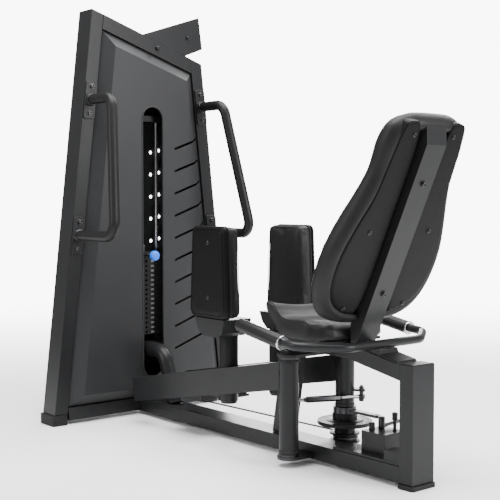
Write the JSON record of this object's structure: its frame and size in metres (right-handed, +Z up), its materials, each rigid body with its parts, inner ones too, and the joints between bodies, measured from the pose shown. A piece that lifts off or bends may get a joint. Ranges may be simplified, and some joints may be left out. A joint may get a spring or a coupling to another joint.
{
  "type": "hip adductor and abductor machine",
  "caption": "Seated hip machine: a reclined seat between two coupled swing arms with turning thigh pads, and a covered pin-loaded weight tower in front.",
  "frame": {"origin": "on the floor under the middle of the machine's overall box", "axes": "+Z up; +X from the weight tower towards the backrest, so the user faces -X; +Y towards the user's right-hand side"},
  "size_m": [1.6202, 0.8876, 1.634],
  "materials": {
    "frame": "satin black powder coat",
    "sheet": "satin dark grey powder coat",
    "vinyl": "black grained upholstery",
    "shell": "moulded, fine texture",
    "chrome": "polished",
    "steel": "zinc plated",
    "iron": "black painted",
    "rubber": "matt",
    "blue": "light blue, smooth",
    "cable": "black coated steel cable",
    "plastic": "black"
  },
  "bodies": {
    "base": {"left_post": "frame", "right_post": "frame", "top_member": "frame", "base_member": "frame", "wing_plate": "frame", "left_shoe": "rubber", "right_shoe": "rubber", "rear_shoe": "rubber", "front_cover": "sheet", "rear_cover": "sheet", "weight_plates": "iron", "stack_shelf": "frame", "left_guide_rod": "chrome", "right_guide_rod": "chrome", "rod_bracket": "frame", "lift_cable": "cable", "drive_cable": "cable", "left_tower_handle": "rubber", "right_tower_handle": "rubber", "main_beam": "frame", "gooseneck": "frame", "rear_post": "frame", "seat_beam": "frame", "seat_column": "frame", "hub_bridge": "frame", "left_hub_shaft": "steel", "right_hub_shaft": "steel", "seat_cushion": "vinyl", "seat_plate": "frame", "back_cushion": "vinyl", "left_back_shell": "shell", "right_back_shell": "shell", "back_spine": "frame", "handlebar": "frame", "left_grip": "rubber", "right_grip": "rubber", "selector_base": "frame"},
    "weight": {"head_plate": "iron", "selector_rod": "chrome"},
    "pin": {"selector_pin": "blue"},
    "top_wheel": {"top_pulley": "plastic"},
    "low_wheel": {"lower_pulley": "plastic"},
    "turn_wheel": {"turn_pulley": "plastic"},
    "left_swing": {"left_hub": "frame", "left_arm": "frame", "left_pad_post": "frame"},
    "right_swing": {"right_hub": "frame", "right_arm": "frame", "right_pad_post": "frame", "cam": "plastic", "cam_clamp": "steel"},
    "left_pad": {"left_pad_shell": "shell", "left_pad_cushion": "vinyl", "left_pad_bracket": "frame"},
    "right_pad": {"right_pad_shell": "shell", "right_pad_cushion": "vinyl", "right_pad_bracket": "frame"},
    "link": {"tie_rod": "steel"},
    "stop_pin": {"range_pin": "plastic"},
    "stop_lever": {"selector_lever": "steel"}
  },
  "joints": [
    {"name": "right_arm_swing", "type": "hinge", "parent": "base", "child": "right_swing", "pos_m": [0.3002, 0.129, 0.3], "axis": [0, 0, -1], "range_deg": [0, 50]},
    {"name": "left_arm_swing", "type": "hinge", "parent": "base", "child": "left_swing", "pos_m": [0.3002, -0.129, 0.3], "axis": [0, 0, 1], "range_deg": [0, 50]},
    {"name": "weight_lift", "type": "slide", "parent": "base", "child": "weight", "axis": [0, 0, 1], "range_m": [0, 0.0385], "deforming": ["lift_cable"]},
    {"name": "pin_pull", "type": "slide", "parent": "weight", "child": "pin", "axis": [1, 0, 0], "range_m": [0, 0.035]},
    {"name": "top_pulley_spin", "type": "hinge", "parent": "base", "child": "top_wheel", "pos_m": [-0.7588, 0.09, 1.312], "axis": [-1, 0, 0], "range_deg": [0, 24.6]},
    {"name": "lower_pulley_spin", "type": "hinge", "parent": "base", "child": "low_wheel", "pos_m": [-0.7788, 0.15, 0.11], "axis": [-1, 0, 0], "range_deg": [0, 73.6]},
    {"name": "turn_pulley_spin", "type": "hinge", "parent": "base", "child": "turn_wheel", "pos_m": [-0.7548, 0.0845, 0.08], "axis": [0, 0, 1], "range_deg": [0, 92]},
    {"name": "left_pad_turn", "type": "hinge", "parent": "left_swing", "child": "left_pad", "pos_m": [-0.0328, -0.115, 0.41], "axis": [0, 0, -1], "range_deg": [0, 180]},
    {"name": "right_pad_turn", "type": "hinge", "parent": "right_swing", "child": "right_pad", "pos_m": [-0.0328, 0.115, 0.41], "axis": [0, 0, 1], "range_deg": [0, 180]},
    {"name": "tie_rod_turn", "type": "hinge", "parent": "right_swing", "child": "link", "pos_m": [0.35458, 0.15436, 0.203], "axis": [0, 0, 1], "range_deg": [0, 50]},
    {"name": "range_pin_pull", "type": "slide", "parent": "base", "child": "stop_pin", "axis": [0, 0, 1], "range_m": [0, 0.025]},
    {"name": "selector_lever_turn", "type": "hinge", "parent": "base", "child": "stop_lever", "pos_m": [0.5442, 0.052, 0.15], "axis": [0, 0, 1], "range_deg": [-12, 12]}
  ],
  "couplings": [
    {"joint": "left_arm_swing", "follows": "right_arm_swing", "ratio": 1},
    {"joint": "weight_lift", "follows": "right_arm_swing", "m_per_rad": 0.044},
    {"joint": "top_pulley_spin", "follows": "right_arm_swing", "ratio": 0.48889},
    {"joint": "lower_pulley_spin", "follows": "right_arm_swing", "ratio": 1.4667},
    {"joint": "turn_pulley_spin", "follows": "right_arm_swing", "ratio": 1.8333},
    {"joint": "tie_rod_turn", "follows": "right_arm_swing", "ratio": 1}
  ]
}
